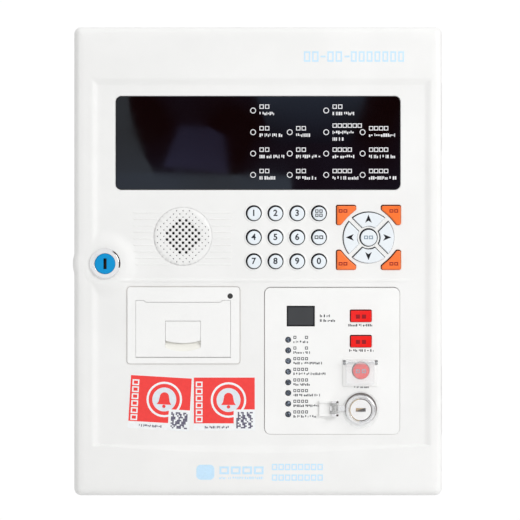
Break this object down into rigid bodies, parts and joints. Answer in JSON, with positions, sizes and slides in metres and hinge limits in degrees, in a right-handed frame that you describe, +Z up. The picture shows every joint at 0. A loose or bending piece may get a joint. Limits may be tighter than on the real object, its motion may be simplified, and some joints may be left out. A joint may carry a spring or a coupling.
{
  "type": "fire alarm control panel",
  "caption": "Wall-mounted fire alarm control panel: steel back box and hinged moulded door with window, speaker, keypad, printer, release sub-panel and key lock.",
  "frame": {"origin": "centre of the four wall fixing holes, on the flat back face", "axes": "+Z up; +Y into the wall, so the front faces -Y; +X to the right as seen from the front"},
  "size_m": [0.3724, 0.1255, 0.47],
  "materials": {
    "box_paint": "fine texture powder coat",
    "plated_steel": "zinc plated",
    "chrome": "polished",
    "black_rubber": "matt",
    "seal_foam": "closed cell foam",
    "board_green": "solder mask over glass epoxy",
    "terminal_green": "moulded",
    "supply_cage": "pressed sheet",
    "battery_case": "moulded",
    "door_plastic": "fine texture moulded",
    "trim_plastic": "fine texture moulded",
    "window_black": "hard coated",
    "lcd_frame": "satin",
    "lamp_clear": "clear lens",
    "speaker_black": "moulded",
    "counter_grey": "smoked window",
    "key_white": "satin",
    "key_grey": "satin",
    "key_orange": "satin",
    "button_red": "satin",
    "clear_cover": "clear polycarbonate",
    "disc_white": "printed",
    "lock_blue": "enamel",
    "paper": "thermal paper",
    "roller_rubber": "ground rubber",
    "feed_black": "satin"
  },
  "bodies": {
    "cabinet": {"back_box": "box_paint", "gland_plate": "box_paint", "cable_grommets": "black_rubber", "hinge_leaves_box": "plated_steel", "box_fasteners": "plated_steel", "main_board": "board_green", "terminal_blocks": "terminal_green", "power_supply": "supply_cage", "batteries": "battery_case", "battery_bracket": "plated_steel"},
    "door": {"door_shell": "door_plastic", "door_frame": "plated_steel", "door_gasket": "seal_foam", "hinge_leaves_door": "plated_steel", "display_window": "window_black", "lcd_module": "lcd_frame", "front_board": "board_green", "indicator_leds": "lamp_clear", "speaker_grille": "door_plastic", "speaker": "speaker_black", "subpanel_plate": "trim_plastic", "countdown_display": "counter_grey", "keyswitch_body": "chrome", "guard_base": "trim_plastic", "printer_housing": "trim_plastic", "lock_body": "chrome"},
    "paper_roll": {"paper_roll": "paper"},
    "printer_flap": {"printer_flap": "trim_plastic"},
    "platen_roller": {"platen_roller": "roller_rubber"},
    "printer_latch": {"printer_latch": "trim_plastic"},
    "feed_button": {"feed_button": "feed_black"},
    "start_button": {"start_button": "button_red"},
    "stop_button": {"stop_button": "button_red"},
    "release_button": {"release_button": "button_red"},
    "release_guard": {"release_guard": "clear_cover"},
    "keyswitch_rotor": {"keyswitch_rotor": "disc_white"},
    "keyswitch_cover": {"keyswitch_cover": "clear_cover"},
    "lock": {"lock_plug": "lock_blue", "lock_cam": "plated_steel"},
    "key_1": {"key_1": "key_white"},
    "key_2": {"key_2": "key_white"},
    "key_3": {"key_3": "key_white"},
    "key_fn_a": {"key_fn_a": "key_white"},
    "key_4": {"key_4": "key_white"},
    "key_5": {"key_5": "key_white"},
    "key_6": {"key_6": "key_white"},
    "key_fn_b": {"key_fn_b": "key_white"},
    "key_7": {"key_7": "key_white"},
    "key_8": {"key_8": "key_white"},
    "key_9": {"key_9": "key_white"},
    "key_0": {"key_0": "key_white"},
    "key_up": {"key_up": "key_grey"},
    "key_down": {"key_down": "key_grey"},
    "key_left": {"key_left": "key_grey"},
    "key_right": {"key_right": "key_grey"},
    "key_centre": {"key_centre": "key_grey"},
    "key_corner_tl": {"key_corner_tl": "key_orange"},
    "key_corner_tr": {"key_corner_tr": "key_orange"},
    "key_corner_bl": {"key_corner_bl": "key_orange"},
    "key_corner_br": {"key_corner_br": "key_orange"}
  },
  "joints": [
    {"name": "door_hinge", "type": "hinge", "parent": "cabinet", "child": "door", "pos_m": [0.1834, -0.086, 0], "axis": [0, 0, 1], "range_deg": [0, 115]},
    {"name": "lock_turn", "type": "hinge", "parent": "door", "child": "lock", "pos_m": [-0.153, -0.12, -0.0025], "axis": [0, 1, 0], "range_deg": [0, 90]},
    {"name": "printer_flap_hinge", "type": "hinge", "parent": "door", "child": "printer_flap", "pos_m": [-0.07495, -0.1152, -0.0948], "axis": [1, 0, 0], "range_deg": [0, 90]},
    {"name": "printer_latch_hinge", "type": "hinge", "parent": "printer_flap", "child": "printer_latch", "pos_m": [-0.0751, -0.1154, -0.0611], "axis": [-1, 0, 0], "range_deg": [0, 20]},
    {"name": "platen_spin", "type": "hinge", "parent": "printer_flap", "child": "platen_roller", "pos_m": [-0.0751, -0.1095, -0.046], "axis": [1, 0, 0], "continuous": true},
    {"name": "paper_roll_spin", "type": "hinge", "parent": "door", "child": "paper_roll", "pos_m": [-0.07495, -0.088, -0.066], "axis": [1, 0, 0], "continuous": true},
    {"name": "feed_button_press", "type": "slide", "parent": "door", "child": "feed_button", "axis": [0, 1, 0], "range_m": [0, 0.001], "stiffness_N_per_m": 200, "springref_m": -0.001},
    {"name": "start_button_press", "type": "slide", "parent": "door", "child": "start_button", "axis": [0, 1, 0], "range_m": [0, 0.001], "stiffness_N_per_m": 250, "springref_m": -0.001},
    {"name": "stop_button_press", "type": "slide", "parent": "door", "child": "stop_button", "axis": [0, 1, 0], "range_m": [0, 0.001], "stiffness_N_per_m": 250, "springref_m": -0.001},
    {"name": "release_button_press", "type": "slide", "parent": "door", "child": "release_button", "axis": [0, 1, 0], "range_m": [0, 0.001], "stiffness_N_per_m": 250, "springref_m": -0.001},
    {"name": "release_guard_hinge", "type": "hinge", "parent": "door", "child": "release_guard", "pos_m": [0.1025, -0.1226, -0.1013], "axis": [-1, 0, 0], "range_deg": [0, 110]},
    {"name": "keyswitch_turn", "type": "hinge", "parent": "door", "child": "keyswitch_rotor", "pos_m": [0.1028, -0.119, -0.14875], "axis": [0, 1, 0], "range_deg": [0, 90]},
    {"name": "keyswitch_cover_hinge", "type": "hinge", "parent": "door", "child": "keyswitch_cover", "pos_m": [0.077, -0.1212, -0.1473], "axis": [0, 0, -1], "range_deg": [0, 120]},
    {"name": "key_1_press", "type": "slide", "parent": "door", "child": "key_1", "axis": [0, 1, 0], "range_m": [0, 0.001], "stiffness_N_per_m": 250, "springref_m": -0.001},
    {"name": "key_2_press", "type": "slide", "parent": "door", "child": "key_2", "axis": [0, 1, 0], "range_m": [0, 0.001], "stiffness_N_per_m": 250, "springref_m": -0.001},
    {"name": "key_3_press", "type": "slide", "parent": "door", "child": "key_3", "axis": [0, 1, 0], "range_m": [0, 0.001], "stiffness_N_per_m": 250, "springref_m": -0.001},
    {"name": "key_fn_a_press", "type": "slide", "parent": "door", "child": "key_fn_a", "axis": [0, 1, 0], "range_m": [0, 0.001], "stiffness_N_per_m": 250, "springref_m": -0.001},
    {"name": "key_4_press", "type": "slide", "parent": "door", "child": "key_4", "axis": [0, 1, 0], "range_m": [0, 0.001], "stiffness_N_per_m": 250, "springref_m": -0.001},
    {"name": "key_5_press", "type": "slide", "parent": "door", "child": "key_5", "axis": [0, 1, 0], "range_m": [0, 0.001], "stiffness_N_per_m": 250, "springref_m": -0.001},
    {"name": "key_6_press", "type": "slide", "parent": "door", "child": "key_6", "axis": [0, 1, 0], "range_m": [0, 0.001], "stiffness_N_per_m": 250, "springref_m": -0.001},
    {"name": "key_fn_b_press", "type": "slide", "parent": "door", "child": "key_fn_b", "axis": [0, 1, 0], "range_m": [0, 0.001], "stiffness_N_per_m": 250, "springref_m": -0.001},
    {"name": "key_7_press", "type": "slide", "parent": "door", "child": "key_7", "axis": [0, 1, 0], "range_m": [0, 0.001], "stiffness_N_per_m": 250, "springref_m": -0.001},
    {"name": "key_8_press", "type": "slide", "parent": "door", "child": "key_8", "axis": [0, 1, 0], "range_m": [0, 0.001], "stiffness_N_per_m": 250, "springref_m": -0.001},
    {"name": "key_9_press", "type": "slide", "parent": "door", "child": "key_9", "axis": [0, 1, 0], "range_m": [0, 0.001], "stiffness_N_per_m": 250, "springref_m": -0.001},
    {"name": "key_0_press", "type": "slide", "parent": "door", "child": "key_0", "axis": [0, 1, 0], "range_m": [0, 0.001], "stiffness_N_per_m": 250, "springref_m": -0.001},
    {"name": "key_up_press", "type": "slide", "parent": "door", "child": "key_up", "axis": [0, 1, 0], "range_m": [0, 0.001], "stiffness_N_per_m": 250, "springref_m": -0.001},
    {"name": "key_down_press", "type": "slide", "parent": "door", "child": "key_down", "axis": [0, 1, 0], "range_m": [0, 0.001], "stiffness_N_per_m": 250, "springref_m": -0.001},
    {"name": "key_left_press", "type": "slide", "parent": "door", "child": "key_left", "axis": [0, 1, 0], "range_m": [0, 0.001], "stiffness_N_per_m": 250, "springref_m": -0.001},
    {"name": "key_right_press", "type": "slide", "parent": "door", "child": "key_right", "axis": [0, 1, 0], "range_m": [0, 0.001], "stiffness_N_per_m": 250, "springref_m": -0.001},
    {"name": "key_centre_press", "type": "slide", "parent": "door", "child": "key_centre", "axis": [0, 1, 0], "range_m": [0, 0.001], "stiffness_N_per_m": 250, "springref_m": -0.001},
    {"name": "key_corner_tl_press", "type": "slide", "parent": "door", "child": "key_corner_tl", "axis": [0, 1, 0], "range_m": [0, 0.001], "stiffness_N_per_m": 250, "springref_m": -0.001},
    {"name": "key_corner_tr_press", "type": "slide", "parent": "door", "child": "key_corner_tr", "axis": [0, 1, 0], "range_m": [0, 0.001], "stiffness_N_per_m": 250, "springref_m": -0.001},
    {"name": "key_corner_bl_press", "type": "slide", "parent": "door", "child": "key_corner_bl", "axis": [0, 1, 0], "range_m": [0, 0.001], "stiffness_N_per_m": 250, "springref_m": -0.001},
    {"name": "key_corner_br_press", "type": "slide", "parent": "door", "child": "key_corner_br", "axis": [0, 1, 0], "range_m": [0, 0.001], "stiffness_N_per_m": 250, "springref_m": -0.001}
  ]
}
